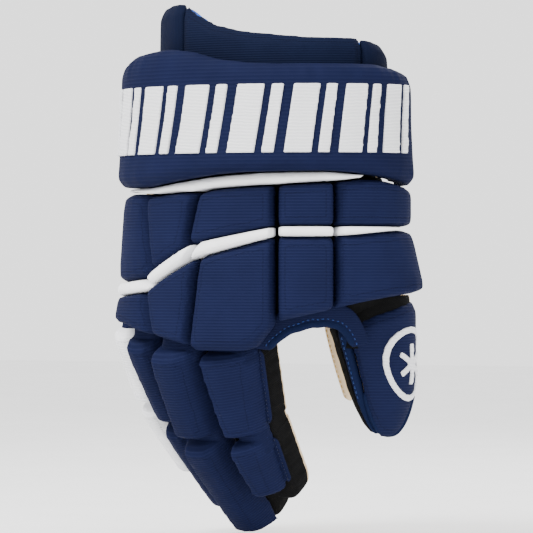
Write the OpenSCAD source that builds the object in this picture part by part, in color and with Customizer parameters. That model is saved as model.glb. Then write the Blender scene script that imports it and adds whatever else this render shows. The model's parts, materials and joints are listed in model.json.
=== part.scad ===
// Ice hockey glove for the right hand, in millimetres.
// +Z points to the cuff opening, -Y is the back of the hand, +X is the thumb side, fingers hang to -Z.

/* [Hand] */
// Half width of the hand, over the backhand pads
hand_a = 98; // [90:1:106]
// Half depth of the hand, over the backhand pads
hand_b = 55; // [50:1:60]
// Thickness of the backhand foam pads
pad_t = 16; // [12:0.5:16.5]
// Thickness of the fabric base layer
base_t = 2.5; // [1.5:0.5:3]
// Thickness of the palm leather
leather_t = 2; // [1.5:0.1:2.5]
// Half width of the grooves between pads, in degrees of the ellipse
groove = 0.9; // [0.6:0.1:2]

/* [Cuff] */
// Half width of the roll's inner face
roll_a = 86; // [83:0.5:86]
// Half depth of the roll's inner face
roll_b = 49.5; // [47:0.5:50]
// Thickness of the padded roll
roll_t = 13.2; // [9:0.5:14]
// Half width of the wrist guard
guard_a = 78; // [72:0.5:77]
// Half depth of the wrist guard
guard_b = 43.5; // [39:0.5:43]
// Thickness of the wrist guard
guard_t = 7; // [5:0.5:8]

/* [Fingers] */
// Turn of the finger hinge axes about Z, in degrees
spread = 12; // [8:1:16]
// Height of the finger stall under the pad
stall_h = 24; // [21:0.5:26]
// Thickness of the side gussets
gusset_t = 1.6; // [1.2:0.1:2]
// Opening of the bend between base and tip pads, in degrees
bend_gap = 7; // [6:0.5:10]

/* [Thumb] */
// Thickness of the thumb pad
thumb_pad_t = 12; // [9:0.5:13]
// Lean of the thumb toward the palm, over its length
thumb_lean = 16; // [10:1:20]

/* [Hidden] */

navy = [0.05, 0.08, 0.27];
dark_navy = [0.035, 0.05, 0.17];
white = [0.92, 0.92, 0.93];
black = [0.04, 0.04, 0.05];
tan = [0.80, 0.66, 0.45];
blue = [0.05, 0.25, 0.75];
grey = [0.55, 0.56, 0.58];

// Edge profiles: position across the piece, then height there.
soft = [[0, 0.6], [0.055, 0.95], [0.2, 1], [0.35, 1], [0.5, 1], [0.65, 1], [0.8, 1], [0.945, 0.95], [1, 0.6]];
flat = [for (i = [0:6]) [i / 6, 1]];
level = [[0, 1], [0.5, 1], [1, 1]];
long_flat = [for (i = [0:16]) [i / 16, 1]];
bead = [[0, 0.88], [0.3, 1], [0.7, 1], [1, 0.88]];

// Edge curves of the backhand rows: ellipse angle, then height Z.
collar_low = [[-30, -78.5], [-12, -77.5], [8, -73.5], [27, -70.5], [40, -72.5], [72, -75], [97, -77],
  [105, -79.5], [114, -79], [131, -81], [148, -79], [200, -79]];
stripe_top = [[-25, -101.5], [46, -101], [72, -101], [108, -112], [136, -134], [150, -136], [190, -138]];
stripe_low = [[-25, -103], [0, -103], [20, -104], [46, -107], [72, -107], [108, -121], [136, -142],
  [190, -147]];
hand_low = [[-25, -142], [-15, -142], [15, -145], [34, -149], [46, -153], [60, -157], [72, -161], [75, -167],
  [79, -175.5], [84, -179.5], [109, -179.5], [113, -176], [129, -171], [140, -168.5], [150, -164.5], [165, -162],
  [176, -157], [190, -154]];
base_low = [[-25, -140.5], [46, -151], [60, -155], [72, -159], [78, -165], [85, -170], [111, -170],
  [129, -163], [150, -158], [165, -154], [190, -152]];
roll_top = [[-30, -14], [-16, -8.5], [-8, -4.5], [14, -0.5], [25, 1], [78, 1], [96, 4.5], [114, 12], [124, 11.5],
  [136, 10.5], [150, 8.5], [165, 4], [180, -1], [200, -6]];
roll_low = [[-30, -77], [-12, -76], [8, -72], [28, -68.5], [49, -66], [80, -66.5], [97, -68.5], [113, -71.5],
  [132, -75.5], [200, -75.5]];
guard_top = [[-45, -12], [-20, 0], [-14, 5], [-3, 13], [27, 17.5], [61, 18.5], [82, 21], [98, 23.5], [114, 29],
  [122, 34], [130, 40.5], [136, 42], [165, 39], [180, 36], [205, 28]];
guard_low = [[-60, -66], [220, -66]];
emb_top = [[-30, -12], [200, -12]];
emb_low = [[-30, -55], [200, -55]];

// Extra thickness of the two outermost columns toward the fingers.
outer_flare = [[131, 0], [150, 3], [165, 7], [184, 7.5]];
thumb_flare = [[-25, 9], [-5, 9], [15, 6], [46, 0]];

// Columns: left edge at the top and bottom, then right edge at the top and bottom.
outer_col = [[184, 184], [136, 131]];
ring_col = [[136, 131], [105.5, 111]];
middle_col = [[105.5, 111], [72, 72]];
index_col = [[72, 72], [46, 46]];
thumb_col = [[46, 46], [-24, -24]];

function lerp(a, b, k) = a + (b - a) * k;
function ease(k) = k * k * (3 - 2 * k);
function on_ellipse(a, b, t, z) = [a * cos(t), -b * sin(t), z];

// A closed slab between an outer and an inner grid of points.
module slab(outer, inner) {
  rows = len(outer);
  cols = len(outer[0]);
  n = rows * cols;
  jm = floor(rows / 2);
  im = floor(cols / 2);
  mid = outer[jm][im];
  turn = cross(mid - outer[jm][im - 1], mid - outer[jm - 1][im]) * (mid - inner[jm][im]);
  top = [for (j = [0:rows - 2], i = [0:cols - 2]) let (a = j * cols + i) each [
    [a, a + 1, a + cols + 1], [a, a + cols + 1, a + cols],
    [n + a, n + a + cols + 1, n + a + 1], [n + a, n + a + cols, n + a + cols + 1]]];
  ends = [for (i = [0:cols - 2]) let (c = (rows - 1) * cols + i) each [
    [i + 1, i, n + i], [i + 1, n + i, n + i + 1], [c, c + 1, n + c + 1], [c, n + c + 1, n + c]]];
  sides = [for (j = [0:rows - 2]) let (a = j * cols, b = a + cols - 1) each [
    [a, a + cols, n + a + cols], [a, n + a + cols, n + a],
    [b + cols, b, n + b], [b + cols, n + b, n + b + cols]]];
  faces = concat(top, ends, sides);
  points = [for (r = outer) each r, for (r = inner) each r];
  polyhedron(points, turn > 0 ? [for (f = faces) [f[2], f[1], f[0]]] : faces);
}

// A panel bent round an ellipse, between two leaning sides and two edge curves.
module wrap(a, b, col, top, low, thick, across, down, gap = 0, flare = [[0, 0]], grow = [0, 1], x0 = 0,
  trim = 0) {
  function at(u, v, off) = let (
    t = lerp(lerp(col[0][0], col[0][1], v) - gap, lerp(col[1][0], col[1][1], v) + gap, u),
    z = lerp(lookup(t, top) - trim, lookup(t, low) + trim, v))
    on_ellipse(a + off, b + off, t, z) + [x0, 0, 0];
  function lift(u, v) = let (t = lerp(col[0][0], col[1][0], u)) lookup(t, flare) * lerp(grow[0], grow[1], v);
  slab(
    [for (q = down) [for (p = across) at(p[0], q[0], thick * p[1] * q[1] + lift(p[0], q[0]))]],
    [for (q = down) [for (p = across) at(p[0], q[0], 0)]]);
}

// ---- Backhand ----
// The pads stand on the base layer with room for the plastic plates between.
pad_lift = 2.2;
base_a = hand_a - pad_t - pad_lift;
base_b = hand_b - pad_t - pad_lift;
pad_a = hand_a - pad_t;
pad_b = hand_b - pad_t;
shell_top = [[-30, -70], [200, -70]];
whole_hand = [[186, 186], [-26, -26]];

module backhand_base() {
  color(black)
    wrap(base_a - base_t, base_b - base_t, whole_hand, shell_top, base_low, base_t - 0.1, long_flat, flat);
}

module hand_liner() {
  color(blue)
    wrap(base_a - base_t - 1.6, base_b - base_t - 1.6, whole_hand, shell_top, base_low, 1.5, long_flat, flat,
      trim = 2);
}

// Thin plastic plates under the pads of the upper and lower rows.
module backhand_shields() {
  color(grey)
    for (col = [outer_col, ring_col, middle_col, index_col, thumb_col]) {
      wrap(base_a + 0.7, base_b + 0.7, col, collar_low, stripe_top, 0.7, flat, level, gap = 4, trim = 5);
      wrap(base_a + 0.7, base_b + 0.7, col, stripe_low, hand_low, 0.7, flat, level, gap = 4, trim = 7);
    }
}

module upper_pad(col, flare = [[0, 0]]) {
  color(navy)
    wrap(pad_a, pad_b, col, collar_low, stripe_top, pad_t, soft, soft, gap = groove, flare = flare,
      grow = [0, 0.55], trim = 0.4);
}

module lower_pad(col, flare = [[0, 0]], grow = [0, 1]) {
  color(navy)
    wrap(pad_a, pad_b, col, stripe_low, hand_low, pad_t, soft, soft, gap = groove, flare = flare, grow = grow,
      trim = 0.4);
}

module stripe(col, flare = [[0, 0]]) {
  color(white)
    wrap(pad_a, pad_b, col, stripe_top, stripe_low, pad_t + 0.6, soft, bead, gap = groove, flare = flare,
      grow = [0.55, 0.6]);
}

module pad_upper_outer() { upper_pad(outer_col, outer_flare); }
module pad_upper_ring() { upper_pad(ring_col); }
module pad_upper_middle() { upper_pad(middle_col); }
module pad_upper_index() { upper_pad(index_col); }
module pad_upper_thumb_side() { upper_pad(thumb_col); }
module pad_lower_outer() { lower_pad(outer_col, outer_flare, [0.6, 1]); }
module pad_lower_ring() { lower_pad(ring_col); }
module pad_lower_middle() { lower_pad(middle_col); }
module pad_lower_index() { lower_pad(index_col); }
module pad_lower_thumb_side() { lower_pad(thumb_col, thumb_flare); }
module stripe_outer() { stripe(outer_col, outer_flare); }
module stripe_ring() { stripe(ring_col); }
module stripe_middle() { stripe(middle_col); }
module stripe_index() { stripe(index_col); }
module stripe_thumb_side() { stripe([[46, 46], [2, 2]]); }

module collar_strip() {
  color(white)
    wrap(pad_a, pad_b, [[184, 184], [31, 31]], roll_low, collar_low, pad_t - 1.5, long_flat,
      [[0, 0.8], [0.5, 1], [1, 0.9]], trim = 0.9);
}

// ---- Palm ----
// Height of the palm's outer face: flat at the wrist, cupped at the knuckles.
function palm_y(x, z) =
  lerp(37, min(37, -9 + 0.008 * (x + 20) * (x + 20)), ease(min(1, max(0, (-66 - z) / 95))));
palm_low = [[-104, -149], [-70, -149], [-40, -158], [-2, -162], [16, -162], [30, -158], [58, -146],
  [80, -140]];
palm_x = [-103, -93, -83, -72, -60, -48, -36, -24, -12, 0, 12, 24, 36, 48, 57];

function palm_point(x, k, in) =
  let (z = lerp(-66, lookup(x, palm_low), k)) [x, palm_y(x, z) - in, z];
function thumb_edge(k, in) = let (z = lerp(-66, -140, k)) [73 - in, 22, z];

module palm_panel() {
  ks = [0, 0.2, 0.4, 0.6, 0.8, 1];
  color(tan)
    slab(
      [for (k = ks) [for (x = palm_x) palm_point(x, k, 0), thumb_edge(k, 0)]],
      [for (k = ks) [for (x = palm_x) palm_point(x, k, leather_t), thumb_edge(k, leather_t)]]);
}

module outer_side_panel() {
  ks = [0, 0.25, 0.5, 0.75, 1];
  function edge(k, u, in) =
    let (z = lerp(-79, -148, k), y = lerp(7, 31, u)) [lerp(-84, lerp(-92, -103, k), ease(u)) + in, y, z];
  color(navy)
    slab(
      [for (k = ks) [for (u = [0, 0.33, 0.66, 1]) edge(k, u, 0)]],
      [for (k = ks) [for (u = [0, 0.33, 0.66, 1]) edge(k, u, base_t)]]);
}

// Rolled edge along the crotch between index finger and thumb.
crotch_t = [80, 79, 76, 72, 66, 60, 54, 49, 45, 41, 38, 36];
crotch_z = [-178, -173.5, -169.5, -166, -163, -161.3, -160.8, -161.5, -163, -166, -170, -174];

module crotch_binding() {
  color(navy)
    for (i = [0:len(crotch_t) - 2])
      hull()
        for (k = [i, i + 1])
          translate(on_ellipse(base_a - 4, base_b - 4, crotch_t[k], crotch_z[k] - 1)) sphere(3, $fn = 8);
}

// ---- Fingers ----
// Each: knuckle, bend at the knuckle and at the middle, two lengths, gusset reach past the pad,
// pad section as lateral position and height, then at the knuckle, the middle bend and the fingertip
// the width as a share of the section and the sideways drift.
index_f = [[-4.1, -6.4, -166], 23, 35, 57, 44, 12,
  [[-16, 40], [-14.5, 47], [-5, 45.5], [4, 42], [12, 37], [15.5, 31], [16.5, 27]],
  [1.1, 0.7, 0.5], [0.5, -1, -2.5]];
middle_f = [[-38.9, -6.1, -162], 26, 42.5, 59, 81, 3,
  [[-17.5, 41], [-16, 47.5], [-6, 49], [2.5, 48.5], [9.5, 42], [14, 33], [15.5, 27]],
  [1, 0.88, 0.74], [0, 0, 0]];
ring_f = [[-70.8, 9.9, -152], 33, 42.5, 62, 77, 3,
  [[-14, 38], [-12.5, 45], [-5, 48], [2, 47.5], [8, 42], [11.5, 34], [12.5, 27]],
  [1, 0.88, 0.74], [0, 0, 0]];
little_f = [[-93.7, 32.1, -152], 26, 41.5, 50, 60, 3,
  [[-13, 31.5], [-11.5, 38.5], [-4, 41.5], [1, 41.5], [6, 38], [10.5, 31], [12, 27]],
  [1, 0.88, 0.74], [0, 0, 0]];

function left(f) = f[6][0][0];
function right(f) = f[6][6][0];
function aside(f, part, x, q) =
  x * lerp(f[7][part], f[7][part + 1], q) + lerp(f[8][part], f[8][part + 1], q);
function lean(f) = tan((f[2] - f[1] - bend_gap) / 2);

// The finger frame: x across, y back to the wrist, z out of the back of the finger; hinge at the palm face.
module at_knuckle(f) {
  translate(f[0]) rotate([0, 0, -spread]) rotate([90 + f[1], 0, 0]) children();
}

module at_bend(f) {
  at_knuckle(f) translate([0, -f[3], 0]) rotate([f[2] - f[1], 0, 0]) children();
}

// Part 0 is the base piece and part 1 the tip piece. The end faces of the foam pad lean with height.
module finger_pad(f, part, y0, y1, lean0, lean1, sink) {
  low = stall_h + 0.6;
  function pt(p, q, up) = let (
    h = low + up * (p[1] * (1 - sink * q[0]) - low) * q[1],
    y = lerp(y0 + lean0 * h, y1 - lean1 * h, q[0]))
    [aside(f, part, p[0], q[0]), y, max(h, low)];
  ends = [[0, 0.72], [0.05, 0.96], [0.25, 1], [0.5, 1], [0.75, 1], [0.95, 0.96], [1, 0.72]];
  slab([for (q = ends) [for (p = f[6]) pt(p, q, 1)]], [for (q = ends) [for (p = f[6]) pt(p, q, 0)]]);
}

module finger_sides(f, part, y0, y1, lean0, lean1) {
  levels = [leather_t + 0.3, stall_h / 2, stall_h];
  module wall(x0, x1) {
    function pt(x, q, z) = [aside(f, part, x, q), lerp(y0 + lean0 * z, y1 - lean1 * z, q), z];
    slab(
      [for (z = levels) [for (q = [0, 0.5, 1]) pt(x0, q, z)]],
      [for (z = levels) [for (q = [0, 0.5, 1]) pt(x1, q, z)]]);
  }
  wall(left(f), left(f) + gusset_t);
  wall(right(f), right(f) - gusset_t);
}

module finger_cap(f, y) {
  levels = [leather_t + 0.3, stall_h / 2, stall_h];
  function pt(x, z, out) = [aside(f, 1, x, 1), y + out + 3 * (z / stall_h - 0.5), z];
  slab(
    [for (z = levels) [for (x = [left(f), 0, right(f)]) pt(x, z, -gusset_t)]],
    [for (z = levels) [for (x = [left(f), 0, right(f)]) pt(x, z, 0.2)]]);
}

module finger_leather(f, part, y0, y1) {
  x0 = aside(f, part, left(f), 0);
  x1 = aside(f, part, right(f), 0);
  x2 = aside(f, part, right(f), 1);
  x3 = aside(f, part, left(f), 1);
  linear_extrude(leather_t)
    polygon([[x0, y0], [x1, y0], [x2, y1 + 4], [x2 - 4, y1], [x3 + 4, y1], [x3, y1 + 4]]);
}

module pad_base(f, shade) { color(shade) at_knuckle(f) finger_pad(f, 0, -1, -f[3], 0, lean(f), 0.02); }
module pad_tip(f, shade) { color(shade) at_bend(f) finger_pad(f, 1, -0.8, -f[4], lean(f), -0.06, 0.1); }
module gusset_base(f) { color(black) at_knuckle(f) finger_sides(f, 0, -4, -f[3] + 1, 0.1, lean(f)); }
module gusset_tip(f) {
  color(black)
    at_bend(f) {
      finger_sides(f, 1, -1, -f[4] - f[5], lean(f), 0);
      finger_cap(f, -f[4] - f[5]);
    }
}
module palm_base(f) { color(tan) at_knuckle(f) finger_leather(f, 0, -1, -f[3] + 1); }
module palm_tip(f) { color(tan) at_bend(f) finger_leather(f, 1, -1, -f[4] - f[5] - 1); }

module index_pad_base() { pad_base(index_f, navy); }
module index_pad_tip() { pad_tip(index_f, navy); }
module index_gusset_base() { gusset_base(index_f); }
module index_gusset_tip() { gusset_tip(index_f); }
module index_palm_base() { palm_base(index_f); }
module index_palm_tip() { palm_tip(index_f); }
module middle_pad_base() { pad_base(middle_f, navy); }
module middle_pad_tip() { pad_tip(middle_f, navy); }
module middle_gusset_base() { gusset_base(middle_f); }
module middle_gusset_tip() { gusset_tip(middle_f); }
module middle_palm_base() { palm_base(middle_f); }
module middle_palm_tip() { palm_tip(middle_f); }
module ring_pad_base() { pad_base(ring_f, navy); }
module ring_pad_tip() { pad_tip(ring_f, navy); }
module ring_gusset_base() { gusset_base(ring_f); }
module ring_gusset_tip() { gusset_tip(ring_f); }
module ring_palm_base() { palm_base(ring_f); }
module ring_palm_tip() { palm_tip(ring_f); }
module little_pad_base() { pad_base(little_f, white); }
module little_pad_tip() { pad_tip(little_f, white); }
module little_gusset_base() { gusset_base(little_f); }
module little_gusset_tip() { gusset_tip(little_f); }
module little_palm_base() { palm_base(little_f); }
module little_palm_tip() { palm_tip(little_f); }

// ---- Thumb ----
// A leaning, tapering tube. Angle s is 0 at the back of the hand's thumb side and grows to the outside.
view = 25;
thumb_u = [[-236, 75.5], [-222, 74], [-196, 71.8], [-166, 67], [-140, 67]];
thumb_r = [[-236, 4], [-232, 8.5], [-228, 11.5], [-222, 14.5], [-212, 18.5], [-196, 22.5], [-166, 27],
  [-140, 27.5]];
thumb_top = [[-232, -149], [-180, -160], [-125, -166], [-42, -165], [0, -157], [60, -150], [90, -148],
  [130, -148]];
thumb_z = [-0.001, 0.08, 0.3, 0.5, 0.68, 0.82, 0.92, 0.97, 1];

function thumb_swell(s, z) =
  1 + lerp(0.1, 0.24, min(1, max(0, (-166 - z) / 60))) * pow(max(0, -cos(s + 40)), 2);
function thumb_point(s, z, off) = let (
  u = lookup(z, thumb_u),
  v = lerp(-11, -11 + thumb_lean, (-148 - z) / 88),
  r = (lookup(z, thumb_r) + off) * thumb_swell(s, z),
  p = u + r * sin(s),
  q = v - r * cos(s))
  [p * cos(view) - q * sin(view), p * sin(view) + q * cos(view), z];

module thumb_slab(s0, s1, n, end, in, out, edge = 1, top_gap = 0) {
  zs = [for (k = thumb_z) max(0, k)];
  function z_at(s, k) = lerp(lookup(s, thumb_top) - top_gap, end, k);
  function rim(i, j) = (i == 0 || i == n || j == 0) ? edge : 1;
  function in_at(z) = -min(in, 0.6 * lookup(z, thumb_r));
  slab(
    [for (j = [0:len(zs) - 1]) [for (i = [0:n]) let (s = lerp(s0, s1, i / n), z = z_at(s, zs[j]))
      thumb_point(s, z, lerp(in_at(z), out, rim(i, j)))]],
    [for (j = [0:len(zs) - 1]) [for (i = [0:n]) let (s = lerp(s0, s1, i / n), z = z_at(s, zs[j]))
      thumb_point(s, z, in_at(z))]]);
}

module thumb_pad() { color(navy) thumb_slab(-40, 129, 12, -235, thumb_pad_t, 0, 0.75); }
module thumb_binding() { color(dark_navy) thumb_slab(-60, -41.5, 3, -233, 5, 1, 0.6); }
module thumb_gusset() { color(black) thumb_slab(-124, -61.5, 5, -232, 2, 0); }
module thumb_palm() { color(tan) thumb_slab(-230, -125, 8, -232, 2, 0); }

module thumb_splint() {
  zs = [-168, -185, -200, -212];
  ss = [-25, -5, 15, 35, 55, 75, 95];
  color(grey)
    slab(
      [for (z = zs) [for (s = ss) thumb_point(s, z, -thumb_pad_t - 0.4)]],
      [for (z = zs) [for (s = ss) thumb_point(s, z, -thumb_pad_t - 1.8)]]);
}

// Ring and six-armed star, standing a little proud of the pad.
star_s = 66;
star_z = -188;
star_r = 24;
function star_point(x, y, off) = thumb_point(star_s + x * 2.45, star_z + y, off);

module star_bar(turn) {
  xs = [-13, -8.7, -4.3, 0, 4.3, 8.7, 13];
  function spot(x, y, off) = star_point(x * cos(turn) - y * sin(turn), x * sin(turn) + y * cos(turn), off);
  slab(
    [for (y = [-1.8, 0, 1.8]) [for (x = xs) spot(x, y, 0.9)]],
    [for (y = [-1.8, 0, 1.8]) [for (x = xs) spot(x, y, -1.2)]]);
}

module star_ring(from) {
  turns = [for (i = [0:12]) from + i * 15.2];
  slab(
    [for (r = [star_r - 4, star_r - 2, star_r]) [for (a = turns) star_point(r * cos(a), r * sin(a), 0.9)]],
    [for (r = [star_r - 4, star_r - 2, star_r]) [for (a = turns) star_point(r * cos(a), r * sin(a), -1.2)]]);
}

module thumb_emblem() {
  color(white) {
    star_ring(0);
    star_ring(180);
    for (turn = [30, 90, 150])
      star_bar(turn);
  }
}

// Black stretch panel from the backhand's lower edge down to the thumb.
module thumb_stretch_panel() {
  us = [0, 0.125, 0.25, 0.375, 0.5, 0.625, 0.75, 0.875, 1];
  function up(u, in) =
    let (t = lerp(40, -18, u)) on_ellipse(base_a - in, base_b - in, t, lookup(t, hand_low) - 1.5);
  function down(u, in) = let (s = lerp(-58, 112, u)) thumb_point(s, lookup(s, thumb_top) + 3.5, -8 - in);
  color(black)
    slab(
      [for (k = [0, 0.33, 0.66, 1]) [for (u = us) lerp(up(u, 0), down(u, 0), k)]],
      [for (k = [0, 0.33, 0.66, 1]) [for (u = us) lerp(up(u, 2), down(u, 2), k)]]);
}

// ---- Cuff ----
module guard_section(from, to) {
  wrap(guard_a - guard_t, guard_b - guard_t, [[from, from], [to, to]], guard_top, guard_low, guard_t,
    [[0, 0.7], [0.06, 1], [0.2, 1], [0.35, 1], [0.5, 1], [0.65, 1], [0.8, 1], [0.94, 1], [1, 0.7]],
    [[0, 0.5], [0.06, 0.95], [0.3, 1], [0.6, 1], [1, 1]], gap = 0.4, x0 = 4.6);
}

module wrist_guard_outer() { color(dark_navy) guard_section(205, 130); }
module wrist_guard_centre() { color(dark_navy) guard_section(130, 24); }
module wrist_guard_thumb_side() { color(dark_navy) guard_section(24, -38); }

module wrist_guard_lining() {
  color(blue)
    wrap(guard_a - guard_t - 2.8, guard_b - guard_t - 2.8, [[205, 205], [-38, -38]], guard_top, guard_low,
      1.9, long_flat, level, x0 = 4.6, trim = 1);
}

module cuff_roll() {
  color(navy)
    wrap(roll_a, roll_b, [[193, 193], [-13, -13]], roll_top, roll_low, roll_t,
      [[0, 0.5], [0.02, 0.85], for (i = [0:15]) [0.05 + i * 0.06, 1], [0.98, 0.85], [1, 0.5]],
      [[0, 0.45], [0.04, 0.82], [0.12, 1], [0.45, 1.02], [0.75, 1.1], [0.93, 1.18], [1, 0.85]]);
}

module cuff_roll_stiffener() {
  color(grey)
    wrap(roll_a - 1.9, roll_b - 1.9, [[190, 190], [-10, -10]], roll_top, roll_low, 1.1, long_flat, level,
      trim = 8);
}

// Raised satin-stitched row: slanted blocks, wide and narrow by turns.
module emb_block(t, width) {
  wrap(roll_a + roll_t - 1.2, roll_b + roll_t - 1.2, [[t - 2, t + 2], [t - width - 2, t - width + 2]],
    emb_top, emb_low, 4, level, [[0, 0.54], [0.25, 0.57], [0.5, 0.64], [0.75, 0.81], [1, 0.98]]);
}

module cuff_roll_embroidery() {
  color(white)
    for (i = [0:7]) {
      t = 173 - i * 21.6;
      emb_block(t, 10.5);
      emb_block(t - 13.2, 4.6);
    }
}

backhand_base();
hand_liner();
backhand_shields();
pad_upper_outer();
pad_upper_ring();
pad_upper_middle();
pad_upper_index();
pad_upper_thumb_side();
pad_lower_outer();
pad_lower_ring();
pad_lower_middle();
pad_lower_index();
pad_lower_thumb_side();
stripe_outer();
stripe_ring();
stripe_middle();
stripe_index();
stripe_thumb_side();
collar_strip();
palm_panel();
outer_side_panel();
crotch_binding();
thumb_stretch_panel();
index_pad_base();
index_pad_tip();
index_gusset_base();
index_gusset_tip();
index_palm_base();
index_palm_tip();
middle_pad_base();
middle_pad_tip();
middle_gusset_base();
middle_gusset_tip();
middle_palm_base();
middle_palm_tip();
ring_pad_base();
ring_pad_tip();
ring_gusset_base();
ring_gusset_tip();
ring_palm_base();
ring_palm_tip();
little_pad_base();
little_pad_tip();
little_gusset_base();
little_gusset_tip();
little_palm_base();
little_palm_tip();
thumb_pad();
thumb_splint();
thumb_gusset();
thumb_palm();
thumb_binding();
thumb_emblem();
wrist_guard_outer();
wrist_guard_centre();
wrist_guard_thumb_side();
wrist_guard_lining();
cuff_roll();
cuff_roll_stiffener();
cuff_roll_embroidery();
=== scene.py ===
"""Looks for the right-hand ice hockey glove: ribbed pads, mesh gussets, suede palm and stitched bindings."""
import json
import math

import bpy
import numpy as np
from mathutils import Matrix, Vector
from mathutils.bvhtree import BVHTree
from mathutils.kdtree import KDTree


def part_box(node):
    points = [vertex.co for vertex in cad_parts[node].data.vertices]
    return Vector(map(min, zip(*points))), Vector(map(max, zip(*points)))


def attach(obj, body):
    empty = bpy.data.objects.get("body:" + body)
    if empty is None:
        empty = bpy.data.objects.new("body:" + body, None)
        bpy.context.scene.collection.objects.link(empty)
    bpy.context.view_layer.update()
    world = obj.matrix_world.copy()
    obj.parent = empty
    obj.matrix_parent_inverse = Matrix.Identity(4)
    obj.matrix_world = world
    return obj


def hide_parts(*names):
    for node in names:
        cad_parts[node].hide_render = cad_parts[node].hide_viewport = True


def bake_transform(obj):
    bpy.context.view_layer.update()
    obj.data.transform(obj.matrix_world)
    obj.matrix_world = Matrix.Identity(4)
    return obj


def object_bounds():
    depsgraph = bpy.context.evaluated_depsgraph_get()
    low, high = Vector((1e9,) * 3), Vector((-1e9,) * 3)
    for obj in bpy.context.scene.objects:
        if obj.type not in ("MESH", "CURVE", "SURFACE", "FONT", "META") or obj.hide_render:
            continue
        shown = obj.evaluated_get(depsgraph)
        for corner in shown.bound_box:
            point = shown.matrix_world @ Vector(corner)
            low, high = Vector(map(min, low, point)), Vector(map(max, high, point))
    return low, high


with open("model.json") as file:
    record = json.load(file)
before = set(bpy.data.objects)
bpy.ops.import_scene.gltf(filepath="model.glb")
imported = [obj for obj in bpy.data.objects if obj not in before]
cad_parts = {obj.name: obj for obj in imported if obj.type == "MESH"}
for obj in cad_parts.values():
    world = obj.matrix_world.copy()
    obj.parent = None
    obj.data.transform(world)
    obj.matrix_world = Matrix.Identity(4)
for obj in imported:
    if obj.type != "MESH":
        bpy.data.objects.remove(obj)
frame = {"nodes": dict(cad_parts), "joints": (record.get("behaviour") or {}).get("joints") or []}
cad_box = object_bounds()
NODES = frame["nodes"]
JOINTS = {j["name"]: j for j in frame["joints"]}
MM = 0.001
TAU = 2 * math.pi
AZIMUTH = math.radians(25)  # of the camera, toward the thumb side


# ---------------------------------------------------------------- materials
class Shader:
    """A small wrapper that builds a material's node tree."""

    def __init__(self, name):
        self.material = bpy.data.materials.new(name)
        self.material.use_nodes = True
        self.tree = self.material.node_tree
        self.bsdf = self.tree.nodes["Principled BSDF"]

    def node(self, kind, **settings):
        made = self.tree.nodes.new(kind)
        for key, value in settings.items():
            setattr(made, key, value)
        return made

    def feed(self, socket, value):
        if isinstance(value, bpy.types.NodeSocket):
            self.tree.links.new(value, socket)
        else:
            socket.default_value = value

    def math(self, operation, a, b=0.0, clamp=False):
        made = self.node("ShaderNodeMath", operation=operation, use_clamp=clamp)
        self.feed(made.inputs[0], a)
        self.feed(made.inputs[1], b)
        return made.outputs[0]

    def wave(self, coordinate, pitch):
        """A smooth 0 to 1 wave along a coordinate, of that pitch in metres."""
        turned = self.math("SINE", self.math("MULTIPLY", coordinate, TAU / pitch))
        return self.math("ADD", self.math("MULTIPLY", turned, 0.5), 0.5)

    def band(self, coordinate, centre, width):
        """1 on a line at that value of the coordinate, falling to 0 at half the width either side."""
        off = self.math("ABSOLUTE", self.math("SUBTRACT", coordinate, centre))
        return self.math("SUBTRACT", 1.0, self.math("DIVIDE", off, width / 2), clamp=True)

    def cloth_axes(self):
        """The cloth's own across, along and distance-from-the-edge coordinates, kept on every piece."""
        attribute = self.node("ShaderNodeAttribute", attribute_name="weave")
        split = self.node("ShaderNodeSeparateXYZ")
        self.feed(split.inputs[0], attribute.outputs["Vector"])
        return split.outputs[0], split.outputs[1], split.outputs[2]

    def noise(self, scale, detail=3.0, rough=0.55):
        made = self.node("ShaderNodeTexNoise")
        self.feed(made.inputs["Scale"], scale)
        self.feed(made.inputs["Detail"], detail)
        self.feed(made.inputs["Roughness"], rough)
        self.feed(made.inputs["Vector"], self.node("ShaderNodeTexCoord").outputs["Object"])
        return made.outputs["Fac"]

    def ramp(self, value, low, high, colour_low, colour_high):
        made = self.node("ShaderNodeValToRGB")
        self.feed(made.inputs[0], value)
        first, last = made.color_ramp.elements
        first.position, last.position = low, high
        first.color, last.color = (*colour_low, 1), (*colour_high, 1)
        return made.outputs[0]

    def mix(self, factor, a, b):
        made = self.node("ShaderNodeMix", data_type="RGBA")
        self.feed(made.inputs["Factor"], factor)
        for socket, value in ((made.inputs[6], a), (made.inputs[7], b)):
            self.feed(socket, value if isinstance(value, bpy.types.NodeSocket) else (*value, 1))
        return made.outputs[2]

    def bump(self, height, depth):
        made = self.node("ShaderNodeBump")
        self.feed(made.inputs["Height"], height)
        self.feed(made.inputs["Distance"], depth)
        self.feed(self.bsdf.inputs["Normal"], made.outputs[0])

    def finish(self, colour, roughness, sheen=0.0, specular=0.5):
        self.feed(self.bsdf.inputs["Base Color"], colour)
        self.feed(self.bsdf.inputs["Roughness"], roughness)
        self.feed(self.bsdf.inputs["Sheen Weight"], sheen)
        self.feed(self.bsdf.inputs["Sheen Roughness"], 0.45)
        self.feed(self.bsdf.inputs["Specular IOR Level"], specular)
        return self.material


def scaled(colour, factor):
    return tuple(c * factor for c in colour)


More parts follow.
